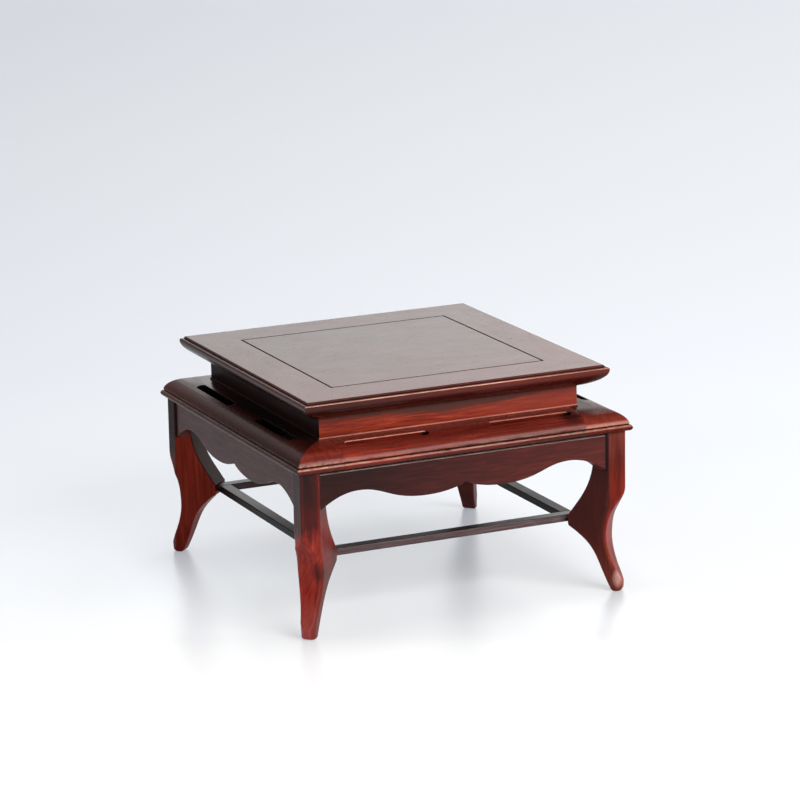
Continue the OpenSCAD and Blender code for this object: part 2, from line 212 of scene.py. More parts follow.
def add_piece(node, mesh, material, bevel=0.0):
    """Puts a finished mesh in place of a CAD node."""
    mesh.name = node + "_finish"
    mesh.materials.clear()
    mesh.materials.append(material)
    mesh.polygons.foreach_set("use_smooth", [True] * len(mesh.polygons))
    mesh.set_sharp_from_angle(angle=SHARP_ANGLE)
    piece = bpy.data.objects.new(node + "_finish", mesh)
    bpy.context.scene.collection.objects.link(piece)
    if bevel:
        edge = piece.modifiers.new("eased_edges", "BEVEL")
        edge.width = bevel * MM
        edge.segments = 2
        edge.limit_method = "ANGLE"
        edge.angle_limit = SHARP_ANGLE
        edge.harden_normals = False
    normals = piece.modifiers.new("even_normals", "WEIGHTED_NORMAL")
    normals.mode = "FACE_AREA"
    normals.keep_sharp = True
    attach(piece, "root")
    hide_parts(node)
    return piece


# Materials

def linear(r, g, b):
    """A colour given in display values from 0 to 255."""
    out = []
    for value in (r, g, b):
        c = value / 255
        out.append(c / 12.92 if c <= 0.04045 else ((c + 0.055) / 1.055) ** 2.4)
    return (*out, 1.0)


def grey(value):
    """A grey given in linear light."""
    return (value, value, value, 1.0)


class Tree:
    """Short calls for building a node tree."""

    def __init__(self, owner):
        owner.use_nodes = True
        self.tree = owner.node_tree
        self.tree.nodes.clear()

    def add(self, kind, values=None, **settings):
        node = self.tree.nodes.new(kind)
        for key, value in settings.items():
            setattr(node, key, value)
        for key, value in (values or {}).items():
            if isinstance(value, bpy.types.NodeSocket):
                self.tree.links.new(value, node.inputs[key])
            else:
                node.inputs[key].default_value = value
        return node

    def noise(self, vector, detail=3.0, roughness=0.55):
        return self.add("ShaderNodeTexNoise", {
            "Vector": vector, "Scale": 1.0, "Detail": detail, "Roughness": roughness,
        }).outputs["Fac"]

    def vector(self, operation, a, b):
        return self.add("ShaderNodeVectorMath", {0: a, 1: b}, operation=operation).outputs[0]

    def dot(self, a, b):
        return self.add("ShaderNodeVectorMath", {0: a, 1: b}, operation="DOT_PRODUCT").outputs["Value"]

    def stretch(self, vector, along, across):
        """Coordinates in units of a feature's length and thickness."""
        return self.vector("MULTIPLY", vector, (1 / along, 1 / across, 1 / across))

    def axes(self, vector):
        split = self.add("ShaderNodeSeparateXYZ", {0: vector})
        return split.outputs["X"], split.outputs["Y"], split.outputs["Z"]

    def ramp(self, fac, stops):
        node = self.add("ShaderNodeValToRGB", {"Fac": fac})
        elements = node.color_ramp.elements
        while len(elements) < len(stops):
            elements.new(0.5)
        for element, (place, colour) in zip(elements, stops):
            element.position = place
            element.color = colour
        return node.outputs["Color"]

    def span(self, fac, low, high, to_low=0.0, to_high=1.0):
        """Runs evenly from one value at low to another at high, and stays level beyond them."""
        return self.add("ShaderNodeMapRange", {
            "Value": fac, "From Min": low, "From Max": high, "To Min": to_low, "To Max": to_high,
        }).outputs["Result"]

    def between(self, value, low, high, soft):
        """1 inside a range, 0 outside it."""
        rise = self.span(value, low - soft, low + soft)
        fall = self.span(value, high - soft, high + soft, 1.0, 0.0)
        return self.times(rise, fall)

    def near(self, place, point, radius):
        """1 at a point, 0 from a distance on."""
        gap = self.add("ShaderNodeVectorMath", {0: place, 1: point}, operation="DISTANCE").outputs["Value"]
        return self.span(gap, 0.4 * radius, radius, 1.0, 0.0)

    def math(self, operation, a, b=0.0):
        return self.add("ShaderNodeMath", {0: a, 1: b}, operation=operation).outputs[0]

    def times(self, first, *others):
        """Product of values."""
        product = first
        for other in others:
            product = self.math("MULTIPLY", product, other)
        return product

    def mix(self, fac, a, b, blend="MIX"):
        node = self.add("ShaderNodeMix", {0: fac, 6: a, 7: b}, data_type="RGBA", blend_type=blend)
        return node.outputs[2]

    def tint(self, fac, colour, factors):
        """The colour with its red, green and blue multiplied, as far as fac says."""
        return self.mix(fac, colour, self.mix(1.0, colour, (*factors, 1.0), "MULTIPLY"))


GRAIN_TURN = {"x": (0, 0, 0), "y": (0, 0, -math.pi / 2), "z": (0, math.pi / 2, 0)}
# Length and thickness of what shows in the wood
WANDER, CLOUD, THREAD, PORE, RUB, DUST = (45, 14), (55, 16), (22, 0.55), (6, 0.28), (6, 2.5), (18, 9)
WANDER_SHIFT = 5
SEED_SHIFT = (37.3, 11.9, 5.7)
PORE_ROUGHNESS = 0.15
GRAIN_DEPTH = 0.05
SHADE = linear(16, 8, 7)
CREAM_HIGHLIGHT = linear(228, 174, 152)
LACQUER_IOR = 1.27


def wood(name, grain, seed, tones, rough=0.3, streak=2.0, length=60.0, contrast=1.0, clouds=0.35,
         fine=0.35, pores=0.35, worn=0.2, relief=0.15, lacquer=LACQUER_IOR, marks=None):
    """Lacquered hardwood with its grain along one axis.

    tones are a deep, a middle and a bright colour in display values. marks adds what one piece has.
    """
    material = bpy.data.materials.new(name)
    t = Tree(material)
    deep, body, bright = tones
    coord = t.add("ShaderNodeTexCoord").outputs["Object"]
    spot = t.vector("MULTIPLY", coord, (1 / MM, 1 / MM, 1 / MM))
    place = t.add("ShaderNodeMapping", {
        "Vector": spot, "Location": [seed * s for s in SEED_SHIFT], "Rotation": GRAIN_TURN[grain],
    }).outputs["Vector"]
    # The grain wanders a little as it runs
    wander = t.add("ShaderNodeTexNoise", {"Vector": t.stretch(place, *WANDER), "Scale": 1.0, "Detail": 2.0})
    offset = t.vector("SUBTRACT", wander.outputs["Color"], (0.5, 0.5, 0.5))
    lines = t.vector("ADD", place, t.vector("MULTIPLY", offset, (0, WANDER_SHIFT, WANDER_SHIFT)))

    bands = t.noise(t.stretch(lines, length, streak), 4, 0.6)
    half = 0.22 / contrast
    colour = t.ramp(bands, [
        (max(0.0, 0.5 - half), linear(*deep)), (0.5, linear(*body)), (min(1.0, 0.5 + half), linear(*bright)),
    ])
    cloud = t.noise(t.stretch(place, *CLOUD), 2, 0.5)
    colour = t.mix(t.span(cloud, 0.4, 0.7, 0, clouds), colour, linear(*deep))
    thread = t.noise(t.stretch(lines, *THREAD), 3, 0.6)
    colour = t.mix(fine, colour, t.ramp(thread, [(0.3, grey(0.45)), (0.7, grey(1.25))]), "MULTIPLY")
    pore = t.span(t.noise(t.stretch(lines, *PORE), 2, 0.5), 0.62, 0.72)
    colour = t.mix(t.times(pore, pores), colour, SHADE)
    if marks is not None:
        colour = marks(t, spot, place, colour)
    wear = t.add("ShaderNodeAttribute", attribute_name="wear").outputs["Fac"]
    pale_edge = t.times(wear, t.span(t.noise(t.stretch(place, *RUB), 3), 0.35, 0.65, 0.3 * worn, worn))
    colour = t.mix(pale_edge, colour, linear(*[min(255, c * 1.2 + 20) for c in bright]))

    dust = t.noise(t.stretch(place, *DUST), 3, 0.6)
    gloss = t.math("ADD", t.span(dust, 0.3, 0.7, rough - 0.02, rough + 0.02), t.times(pore, PORE_ROUGHNESS))
    height = t.math("SUBTRACT", t.times(thread, 0.35), pore)
    bump = t.add("ShaderNodeBump", {"Strength": relief, "Distance": GRAIN_DEPTH * MM, "Height": height})
    shader = t.add("ShaderNodeBsdfPrincipled", {
        "Base Color": colour, "Roughness": gloss, "IOR": lacquer, "Normal": bump.outputs["Normal"],
    })
    t.add("ShaderNodeOutputMaterial", {"Surface": shader.outputs[0]})
    return material


def grain_seed(first, turn):
    """A different place in the noise for each side of the stand."""
    return first + turn / 90


def grain_along(side):
    return "x" if side in CROSSWISE else "y"


def sides(t, spot):
    """Distance of a place out from the middle of the stand, and along the side that it lies on."""
    x, y, _ = t.axes(spot)
    x, y = t.math("ABSOLUTE", x), t.math("ABSOLUTE", y)
    return t.math("MAXIMUM", x, y), t.math("MINIMUM", x, y)


def front_and_back(t, spot, elsewhere):
    """1 on the front and back of the stand, another value on its left and right."""
    x, y, _ = t.axes(spot)
    lead = t.math("SUBTRACT", t.math("ABSOLUTE", y), t.math("ABSOLUTE", x))
    return t.span(lead, -0.5, 0.5, elsewhere, 1.0)


def towards(t, x, y):
    """How much a face looks in a level direction, from -1 to 1."""
    normal = t.add("ShaderNodeNewGeometry").outputs["Normal"]
    return t.dot(normal, Vector((x, y, 0)).normalized())


def highlight_and_wear_strength(t, place, low, high):
    """Uneven strength of a painted highlight along an edge, which on some edges is also wear."""
    return t.span(t.noise(t.stretch(place, 9, 2), 4, 0.65), 0.32, 0.68, low, high)


# Top: mitred frame round a floating panel

lip_z, lip_radius = 125.6, 1.1
step_z = lip_z + lip_radius
step_half = FACE_HALF + (FACE_Z - step_z) / 2
step_middle = (step_z + FACE_Z) / 2
tongue_low, tongue_high, tongue_length = 122.8, 124.8, 2.6
fit = 0.1
groove_end = FRAME_HALF + tongue_length + fit
inner_ease, face_ease, step_ease = 0.15, 0.35, 0.25
sweep = bezier((WAIST_HALF, TOP_Z), (LIP_HALF, lip_z), ((0.54, 0.225), (0, 0.43)))
lip = arc((LIP_HALF - lip_radius, lip_z), lip_radius, lip_radius, 5, 80, 10)
frame_points = [
    (FRAME_HALF, TOP_Z), (WAIST_HALF, TOP_Z), *sweep, *lip,
    (step_half, step_z), (step_half, step_middle), (FACE_HALF, FACE_Z), (FRAME_HALF, FACE_Z),
]
last = len(frame_points) - 1
frame_points += [
    (FRAME_HALF, tongue_high + fit), (groove_end, tongue_high + fit),
    (groove_end, tongue_low), (FRAME_HALF, tongue_low),
]
frame_profile = rounded(frame_points, {last: inner_ease, last - 1: face_ease, last - 2: step_ease})


def top_marks(t, spot, place, colour):
    """Redder to the front and right, with painted shade in the panel's gap, on the slope, in the step and
    under the frame, and a painted highlight along the lip.
    """
    x, y, z = t.axes(spot)
    out, _ = sides(t, spot)
    brighter = t.math("ADD", t.span(y, 60, -90, 0, 0.55), t.span(x, 20, 90, 0, 0.1))
    colour = t.mix(brighter, colour, linear(98, 40, 30))
    # Painted shade on the slope from the face down to the step, only on the left half and strongest at the
    # left
    slope = t.times(
        t.span(out, FACE_HALF + 0.05, FACE_HALF + 0.2),
        t.between(z, FACE_Z - 0.7, FACE_Z + 0.1, 0.1),
        t.span(x, -60, 0, 0.6, 0.0),
    )
    colour = t.mix(slope, colour, linear(58, 30, 26))
    # Painted shade under the frame, deepest towards the waist and to the left
    under = t.ramp(t.span(z, TOP_Z + 1.8, lip_z + 0.4), [
        (0.0, linear(44, 9, 6)), (0.6, linear(66, 15, 9)), (1.0, linear(102, 34, 22)),
    ])
    under = t.mix(t.span(x, 30, -80, 0, 0.75), under, linear(26, 10, 7))
    colour = t.mix(t.times(t.span(z, step_z - 0.4, step_z - 0.8), 0.85), colour, under)
    # Painted highlight along the lip, weaker on the left and right
    pale_edge = t.times(
        t.between(z, step_z - 0.6, step_z - 0.2, 0.08),
        t.span(out, step_half + 0.5, step_half + 0.7),
        front_and_back(t, spot, 0.2),
        t.span(x, -85, 0, 0.6, 1.0),
        t.span(x, 15, 70, 1.0, 0.4),
        highlight_and_wear_strength(t, place, 0.45, 1.0),
    )
    colour = t.mix(pale_edge, colour, CREAM_HIGHLIGHT)
    # Painted shade in the gap round the panel and in the step
    line = t.between(out, PANEL_HALF - 0.05, FRAME_HALF + 0.15, 0.08)
    step = t.times(
        t.between(out, step_half - 0.3, step_half + 0.3, 0.1),
        t.between(z, step_z - 0.1, step_z + 0.7, 0.1),
        t.span(x, -30, 40, 0.92, 0.7),
    )
    return t.mix(t.math("MAXIMUM", line, step), colour, SHADE)


top_frame_tones = ((42, 17, 13), (68, 27, 21), (92, 42, 33))
for side, turn in SIDES.items():
    finish = wood("top_frame_" + side, grain_along(side), grain_seed(1, turn), top_frame_tones, rough=0.25,
                  contrast=0.8, clouds=0.25, pores=0.25, relief=0.05, marks=top_marks)
    add_piece("top_frame_" + side, mitred_bar(frame_profile, turn), finish)

panel_edge = 0.15
panel_bottom = 119.6
# Radius of the panel's corners as a share of its half width
panel_corner = 0.006
tongue_half = FRAME_HALF + tongue_length - fit
panel_outline = rounded([(-1, -1), (1, -1), (1, 1), (-1, 1)], {k: panel_corner for k in range(4)})
panel_levels = [
    (panel_bottom, PANEL_HALF, 0), (tongue_low, PANEL_HALF, 0), (tongue_low, tongue_half, 0),
    (tongue_high, tongue_half, 0), (tongue_high, PANEL_HALF, 0),
]
for angle in (0, math.pi / 6, math.pi / 3, math.pi / 2):
    drop, inset = panel_edge * (1 - math.sin(angle)), panel_edge * (1 - math.cos(angle))
    panel_levels.append((FACE_Z - drop, PANEL_HALF - inset, 1))
panel_levels.append((FACE_Z, PANEL_HALF - panel_edge - WEAR_REACH, 0))
panel = Solid()
panel.capped([[panel.vert(x * half, y * half, z, wear) for x, y, _ in panel_outline]
              for z, half, wear in panel_levels])
panel_tones = ((38, 17, 14), (56, 24, 20), (76, 36, 30))
finish = wood("top_panel", "x", grain_seed(7, BACK), panel_tones, rough=0.24, contrast=0.8, clouds=0.25,
              pores=0.35, relief=0.05, marks=top_marks)
add_piece("top_panel", panel.done(BACK), finish)

# Waist boards with a fillet at the foot

waist_inner = WAIST_HALF - 5.2
fillet_half = WAIST_HALF + 0.5
fillet_z, fillet_top, fillet_ease = WAIST_Z + 0.6, WAIST_Z + 1.1, 0.3
waist_points = [
    (waist_inner, WAIST_Z), (fillet_half, WAIST_Z), (fillet_half, fillet_z),
    (WAIST_HALF, fillet_top), (WAIST_HALF, TOP_Z), (waist_inner, TOP_Z),
]
waist_profile = rounded(waist_points, {2: fillet_ease})


def waist_marks(t, spot, place, colour):
    """Painted highlight along the edge of the fillet, and a dull band along the top that is deepest in the
    middle, partly the wood's figure and partly painted shade under the lip.
    """
    x, _, z = t.axes(spot)
    colour = t.mix(t.span(x, -15, 60, 0, 0.65), colour, linear(140, 56, 44))
    # Dull band along the top: partly the wood's figure, partly painted shade under the lip
    uneven = t.span(t.noise(t.stretch(place, 22, 3), 3, 0.6), 0.3, 0.7, -1.6, 1.6)
    start = t.math("ADD", t.span(t.math("ABSOLUTE", x), 5, 75, TOP_Z - 4.7, TOP_Z - 0.2), uneven)
    dull = t.span(t.math("SUBTRACT", z, start), -0.8, 0.8, 0, 0.85)
    colour = t.mix(dull, colour, linear(80, 46, 39))
    # Painted highlight along the edge of the fillet
    edge = t.times(t.between(z, fillet_z - 0.3, fillet_z + 0.3, 0.15), highlight_and_wear_strength(t, place, 0.3, 0.75))
    return t.mix(edge, colour, linear(190, 140, 124))


# The left and right boards are the same wood as the front and back, given much darker tones as painted shade
waist_tones = {
    True: ((80, 20, 12), (144, 46, 25), (182, 73, 46)),
    False: ((24, 10, 9), (38, 16, 12), (60, 26, 20)),
}
for side, turn in SIDES.items():
    crossing = side in CROSSWISE
    name, grain, seed, tones = "waist_" + side, grain_along(side), grain_seed(3, turn), waist_tones[crossing]
    if crossing:
        finish = wood(name, grain, seed, tones, streak=1.0, length=24, contrast=0.9, clouds=0.4, fine=0.5,
                      worn=0.1, marks=waist_marks)
    else:
        finish = wood(name, grain, seed, tones, lacquer=1.1)
    add_piece(name, mitred_bar(waist_profile, turn), finish)

# Shoulder: two side members of the full depth, two cross members between them, each with two slots

fall_half, fall_run, fall_z = 83, 15.8, 94.9
fall_end = fall_half + fall_run
bead_radius, quirk = 1.75, 0.6
quirk_z = fall_z + quirk
shoulder_profile = [(x, z, 0.0) for x, z in [
    (SHOULDER_INNER, SHOULDER_Z),
    *arc((BEAD_HALF - bead_radius, SHOULDER_Z + bead_radius), bead_radius, bead_radius, -90, 75, 16),
    (fall_end - quirk, quirk_z),
    *arc((fall_half, fall_z), fall_run, WAIST_Z - fall_z, 8, 90, 32),
    (SHOULDER_INNER, WAIST_Z),
]]
shoulder_ease = 0.18
slot_width, slot_length = 5, 49.5
slot_x, slot_y = 42.75, 88.2
slot_inner = slot_y - slot_width / 2
slot_outer = slot_y + slot_width / 2
slot_margin = 2
# Height plus this share of the distance out is the same all along the rim of a slot
rim_fall, rim_level = 0.204, 121.35


def slot_cutter(side, turn):
    """Stadium-shaped prism through the shoulder."""
    solid = Solid()
    reach = (slot_length - slot_width) / 2
    radius = slot_width / 2
    outline = arc((side * slot_x + reach, slot_y), radius, radius, -90, 90, 12)
    outline += arc((side * slot_x - reach, slot_y), radius, radius, 90, 270, 12)
    heights = (SHOULDER_Z - slot_margin, WAIST_Z + slot_margin)
    solid.capped([[solid.vert(x, y, z) for x, y in outline] for z in heights])
    return solid.done(turn)


def shoulder_cross(turn):
    """Member with square ends, which fits between the side members."""
    solid = Solid()
    solid.capped([[solid.vert(s * SHOULDER_INNER, d, z, w) for d, z, w in shoulder_profile]
                  for s in BOTH_ENDS])
    return solid.done(turn)


def shoulder_side(turn):
    """Member whose profile also runs round both corners, as far as the cross members."""
    solid = Solid()
    ends = [[solid.vert(s * d, d, z, w) for d, z, w in shoulder_profile] for s in BOTH_ENDS]
    solid.strips(ends)
    for s, end in zip(BOTH_ENDS, ends):
        seam = [solid.vert(s * d, SHOULDER_INNER, z, w) for d, z, w in shoulder_profile]
        solid.strips([end, seam], closed=False)
        solid.face(seam)
    return solid.done(turn)


def left_shoulder_tone(t, spot, colour):
    """Painted light, lighter to the back and on the front end, which faces the lamps, and painted shade on
    the flat beside the waist.
    """
    x, y, _ = t.axes(spot)
    out, _ = sides(t, spot)
    # Painted light, lighter to the back
    colour = t.tint(t.span(y, 0, 70), colour, (1.9, 1.8, 1.8))
    # Painted light on the front end, which faces the lamps
    front_end = t.span(t.math("ADD", y, t.math("ABSOLUTE", x)), 0.3, -0.3)
    colour = t.tint(front_end, colour, (3.6, 2.3, 1.7))
    # Painted shade on the flat beside the waist
    flat = t.times(t.span(out, 88, 85), t.span(y, 60, 20), t.math("SUBTRACT", 1.0, front_end), 0.7)
    return t.mix(flat, colour, SHADE)


def right_shoulder_tone(t, spot, colour):
    """Painted shade darker towards the waist, and a painted highlight along the lower edge."""
    _, _, z = t.axes(spot)
    out, _ = sides(t, spot)
    # Painted shade towards the waist
    colour = t.mix(t.span(out, 97, 86, 0, 0.85), colour, linear(36, 12, 9))
    # Painted highlight along the lower edge
    edge = t.times(t.between(z, quirk_z + 0.1, quirk_z + 2.2, 0.5), 0.42)
    return t.mix(edge, colour, linear(214, 146, 128))


def front_shoulder_tone(t, spot, colour):
    """Lighter to the left, with a patch of painted shade at the end of the right slot."""
    x, _, z = t.axes(spot)
    lighter = t.times(t.span(x, -15, -45), t.span(z, WAIST_Z - 1, WAIST_Z - 4))
    colour = t.tint(lighter, colour, (1.45, 1.25, 1.05))
    # Painted shade at the end of the right slot
    patch = t.times(t.near(spot, (66, -91, 102.5), 9), 0.85)
    return t.mix(patch, colour, linear(30, 9, 6))


def bead_marks(t, spot, place, colour):
    """Painted shade in the groove over the bead, painted highlights on both sides of it, and painted shade
    on the lower bead.
    """
    x, _, z = t.axes(spot)
    out, _ = sides(t, spot)
    # Painted highlights on the fall above the groove and on the bead below it
    above = t.times(t.between(z, quirk_z + 0.5, quirk_z + 1.5, 0.4), highlight_and_wear_strength(t, place, 0, 0.27))
    below = t.times(t.between(z, quirk_z - 1.0, quirk_z - 0.3, 0.2), highlight_and_wear_strength(t, place, 0.08, 0.5))
    pale_edge = t.times(
        t.math("MAXIMUM", above, below),
        front_and_back(t, spot, 0.25),
        t.span(x, -50, -95, 1.0, 1.7),
        t.span(out, fall_end - 1.8, fall_end - 0.8),
    )
    colour = t.mix(pale_edge, colour, CREAM_HIGHLIGHT)
    # Painted shade on the lower half of the bead
    low_bead = t.times(
        t.span(z, quirk_z - 1.1, quirk_z - 1.9), t.span(out, fall_end - 3.8, fall_end - 2.8), 0.6,
    )
    colour = t.tint(low_bead, colour, (0.25, 0.25, 0.25))
    # Painted shade in the groove over the bead
    uneven = t.span(t.noise(t.stretch(place, 4, 1.2), 2), 0.3, 0.7, -0.15, 0.15)
    line = t.times(
        t.between(t.math("ADD", z, uneven), quirk_z - 0.2, quirk_z + 0.4, 0.15),
        t.span(out, fall_end - 1.4, fall_end - 0.8),
        0.9,
    )
    return t.mix(line, colour, SHADE)


def slot_marks(t, spot, place, colour, crossing):
    """Painted shade on the walls of the slots. In a cross member it is strongest at one end, with a painted
    lit strip under the inner rim.
    """
    x, _, z = t.axes(spot)
    out, _ = sides(t, spot)
    rim = t.math("ADD", z, t.times(out, rim_fall))
    across = t.between(out, slot_inner - 0.4, slot_outer + 0.4, 0.1)
    # Painted shade on the walls of the slots
    wall_shade = t.times(across, t.between(rim, rim_level - 9, rim_level - 0.25, 0.1))
    if not crossing:
        return t.mix(wall_shade, colour, SHADE)
    from_middle = t.math("SUBTRACT", x, t.times(t.math("SIGN", x), slot_x))
    end = slot_length / 2
    colour = t.mix(t.times(wall_shade, t.span(from_middle, end - 4, end - 2, 0.15, 1.0)), colour, SHADE)
    # Painted light on a strip under the inner rim
    lit_rim = t.times(
        t.span(out, slot_inner + 0.5, slot_inner + 0.3),
        t.between(rim, rim_level - 0.65, rim_level - 0.1, 0.1),
        across,
        highlight_and_wear_strength(t, place, 0.5, 1.0),
        t.span(x, -10, 10, 1.0, 0.75),
    )
    return t.mix(lit_rim, colour, linear(236, 150, 128))


shoulder_tone = {"left": left_shoulder_tone, "right": right_shoulder_tone, "front": front_shoulder_tone}
speck_radius = 0.9
specks = {"front": ((19.2, -99, 94.4), (69.6, -99, 94.6))}


def shoulder_marks(side):
    """Tone of one member with its painted light and shade, painted shade and highlights at its bead and
    slots, and dark specks on its bead.
    """
    def marks(t, spot, place, colour):
        if side in shoulder_tone:
            colour = shoulder_tone[side](t, spot, colour)
        colour = bead_marks(t, spot, place, colour)
        colour = slot_marks(t, spot, place, colour, side in CROSSWISE)
        for point in specks.get(side, ()):
            colour = t.mix(t.near(spot, point, speck_radius), colour, SHADE)
        return colour
    return marks


shoulder_tones = {
    "front": ((54, 12, 7), (102, 31, 21), (134, 51, 37)),
    "back": ((54, 12, 7), (102, 31, 21), (134, 51, 37)),
    "left": ((40, 12, 9), (58, 20, 15), (76, 30, 23)),
    "right": ((80, 26, 19), (112, 42, 32), (134, 57, 44)),
}
for side, turn in SIDES.items():
    crossing = side in CROSSWISE
    blank = shoulder_cross(turn) if crossing else shoulder_side(turn)
    mesh = cut_out(blank, [slot_cutter(s, turn) for s in BOTH_ENDS])
    strength = 0.16 if crossing else 0.06
    finish = wood("shoulder_" + side, grain_along(side), grain_seed(5, turn), shoulder_tones[side],
                  rough=0.27, contrast=0.8 if crossing else 0.5, clouds=0.3, fine=strength, pores=strength,
                  relief=0.08 if crossing else 0.02, lacquer=1.1 if side == "right" else LACQUER_IOR,
                  marks=shoulder_marks(side))
    add_piece("shoulder_" + side, mesh, finish, bevel=shoulder_ease)

# Aprons with a scalloped lower edge and a tongue set back under the shoulder

apron_top = SHOULDER_Z - 1.6
apron_thickness = 4
apron_tongue = (1, 3)
leg_thickness = 15
leg_side = leg_thickness / ROOT2
apron_end = APRON_HALF - leg_side
apron_ease = 0.45
end_taper = 12
cusp = (0, SHOULDER_Z - 15.9)
lobe = (22.5, SHOULDER_Z - 21.1)
crown = (apron_end - 22.7, SHOULDER_Z - 13.2)
foot = (apron_end, SHOULDER_Z - 21.3)
half_edge = [
    cusp,
    *bezier(cusp, lobe, ((0.06, 0.51), (0.46, 0))),
    *bezier(lobe, crown, ((0.56, 0), (0.37, 0))),
    *bezier(crown, foot, ((0.32, 0), (0.37, 0.71))),
]
apron_columns = [(-x, z) for x, z in reversed(half_edge[1:])] + half_edge


def apron(turn):
    """Board on the +Y side whose front edges are eased and whose ends lie against the legs."""
    solid = Solid()
    rings = []
    near, far = apron_tongue
    for x, low in apron_columns:
        points = [
            (apron_thickness, low), (0, low), (0, apron_top), (near, apron_top), (near, SHOULDER_Z),
            (far, SHOULDER_Z), (far, apron_top), (apron_thickness, apron_top),
        ]
        slant = max(0.0, (abs(x) - apron_end + end_taper) / end_taper)
        ring = []
        for depth, z, wear in rounded(points, {1: apron_ease, 2: apron_ease}):
            ring.append(solid.vert(x - math.copysign(slant * depth, x), APRON_HALF - depth, z, wear))
        rings.append(ring)
    solid.capped(rings)
    return solid.done(turn)


def apron_marks(side):
    """Painted highlight with wear along the top edge, painted shade above it and in the joints at some ends,
    and painted light on the front board, lighter to the right and lower down.
    """
    def marks(t, spot, place, colour):
        x, y, z = t.axes(spot)
        _, along = sides(t, spot)
        if side == "front":
            # Painted light, the front board lighter to the right and lower down
            brighter = t.math("ADD", t.span(x, -60, 80), t.span(z, 84, 72, 0, 0.15))
            colour = t.tint(brighter, colour, (4.4, 4.4, 4.3))
        # Painted highlight with some wear along the top edge
        strength = highlight_and_wear_strength(t, place, 0.3, 0.75) if side == "front" else highlight_and_wear_strength(t, place, 0.7, 1.0)
        edge = t.times(t.between(z, apron_top - 0.55, apron_top + 0.05, 0.1), strength)
        colour = t.mix(edge, colour, linear(196, 172, 160))
        # Painted shade in the joints at the ends away from the near corner, and on the tongue above the top
        # edge
        open_end = t.span(t.math("ADD", x, y), -60, -50)
        joint = t.times(t.span(along, apron_end - 0.9, apron_end - 0.6), open_end, 0.9)
        above = t.span(z, apron_top + 0.05, apron_top + 0.15)
        return t.mix(t.math("MAXIMUM", joint, above), colour, SHADE)
    return marks


front_apron_tones = ((26, 7, 6), (38, 10, 8), (56, 18, 14))
other_apron_tones = ((54, 28, 26), (86, 46, 43), (112, 66, 62))
for side, turn in SIDES.items():
    tones = front_apron_tones if side == "front" else other_apron_tones
    finish = wood("apron_" + side, grain_along(side), grain_seed(9, turn), tones, rough=0.34, streak=1.6,
                  length=18, contrast=0.7, clouds=0.25, fine=0.15, pores=0.25, worn=0.1,
                  marks=apron_marks(side))
    add_piece("apron_" + side, apron(turn), finish)

# Legs: sections of an S-shaped board on the diagonal, squared to the corner above the knee

leg_corner = LEG_HALF * ROOT2
leg_inner = leg_corner - 16.5
knob_tip = leg_corner - 31.6
stretcher_low, stretcher_high = 38.3, 42.3
knob_lip = 1.4
knob_round = knob_lip / 2
knob_bottom, knob_top = stretcher_low - knob_lip, stretcher_high + knob_lip
knee_z, ankle_z, toe_z, throat_z, taper_z = 60, 31.5, 5.8, 81, 39
arris_ease, edge_ease, knee_ease, sole_ease = 0.5, 1.2, 2.2, 1.4
sole_steps = 4
knee = leg_corner - arris_ease
ankle = leg_corner - 9.8
toe = leg_corner - 1.8
sole = toe - 1.3
sole_inner = sole - 4.2
foot_thickness = 8.2
# Radius of the outer edges above the knee, below it and at the foot, and of the inner ones
edge_radius, knee_radius, foot_radius, inner_radius = 1.0, 5.5, 1.8, 0.9
# The edges reach the knee's radius at one height and the foot's at another
knee_round_z, foot_round_z = 50, 34
knee_round_start = knee_z + 2
level_gap = 0.3
# The near foot leans and the far left leg swells a little, from below the knee outside and the knob inside
foot_lean, leg_swell = 0.6, 0.7
swell_z, swell_run = knee_z - 2, 12
inner_swell_z, inner_swell_run = knob_bottom - 1, 6
# Inner and outer corner of the stretchers' space in a leg
notch_inner, notch_outer = 60, 76.9

outer_line = [(knee, SHOULDER_Z), (knee, knee_z)]
outer_line += bezier((knee, knee_z), (ankle, ankle_z), ((0, 0.31), (0, 0.61)))
outer_line += bezier((ankle, ankle_z), (toe, toe_z), ((0, 0.37), (0.37, 0.23)))
outer_line += bezier((toe, toe_z), (sole, 0), ((-0.1, 0.45), (0.78, 0)))
inner_line = [(leg_inner, SHOULDER_Z), (leg_inner, throat_z)]
inner_line += bezier((leg_inner, throat_z), (knob_tip + knob_round, knob_top), ((0, 0.55), (0.35, 0.22)))
inner_line += [(knob_tip, knob_top - knob_round), (knob_tip, knob_bottom + knob_round)]
inner_line += [(knob_tip + knob_round, knob_bottom)]
inner_line += bezier((knob_tip + knob_round, knob_bottom), (sole_inner, 0), ((0.75, 0.32), (0.42, 0.52)))


def at_height(line, z):
    """Distance of a line of falling points at one height."""
    for (x0, z0), (x1, z1) in zip(line, line[1:]):
        if z1 <= z <= z0 and z0 > z1:
            return x0 + (x1 - x0) * (z0 - z) / (z0 - z1)
    return line[-1][0]


line_heights = {z for _, z in outer_line + inner_line}
sole_heights = {sole_ease * k / sole_steps for k in range(1, sole_steps + 1)}
leg_levels = [0.0]
for z in sorted(line_heights | sole_heights):
    if z - leg_levels[-1] > level_gap or z == SHOULDER_Z:
        leg_levels.append(z)


